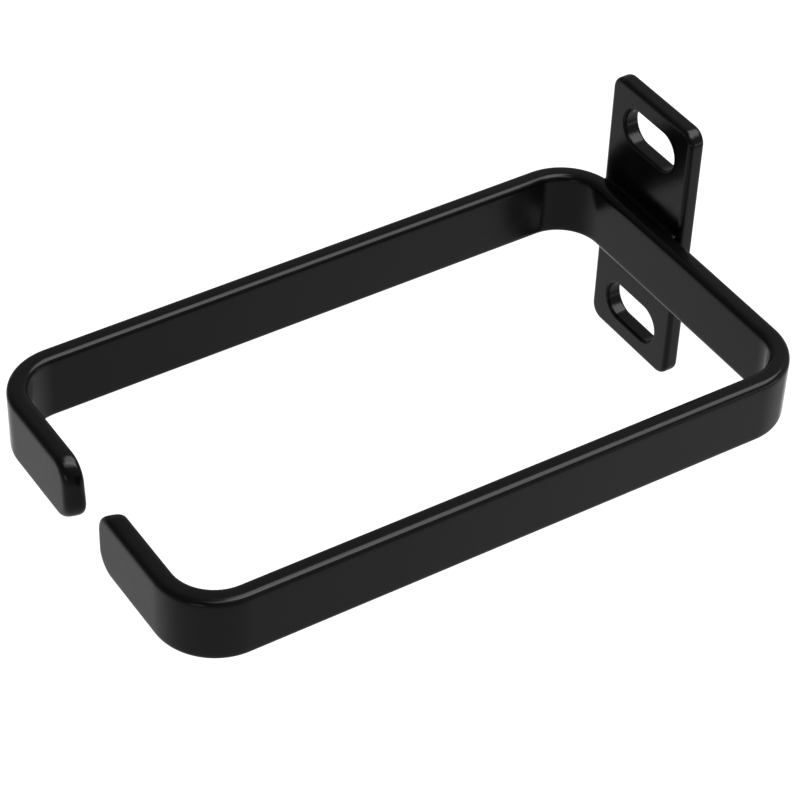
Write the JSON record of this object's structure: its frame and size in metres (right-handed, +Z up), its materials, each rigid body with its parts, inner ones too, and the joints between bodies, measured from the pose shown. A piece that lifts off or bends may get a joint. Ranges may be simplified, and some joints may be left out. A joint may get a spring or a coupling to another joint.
{
  "type": "hair dryer holder",
  "caption": "Wall-mounted hair dryer holder: a flat steel bar bent into an open rectangular loop, welded off-centre to a slotted wall plate, black powder coat.",
  "frame": {"origin": "centre of the wall plate's back face, the face that rests on the wall", "axes": "+Y into the wall, +Z up, +X to the right as seen from the room; the loop reaches out from the wall along -Y"},
  "size_m": [0.083, 0.1493, 0.065],
  "materials": {
    "powder_coat": "satin black powder coat",
    "weld_coat": "satin black powder coat over a weld bead"
  },
  "bodies": {
    "root": {"loop_bar": "powder_coat", "mounting_plate": "powder_coat", "weld_bead_upper": "weld_coat", "weld_bead_lower": "weld_coat"}
  },
  "joints": []
}
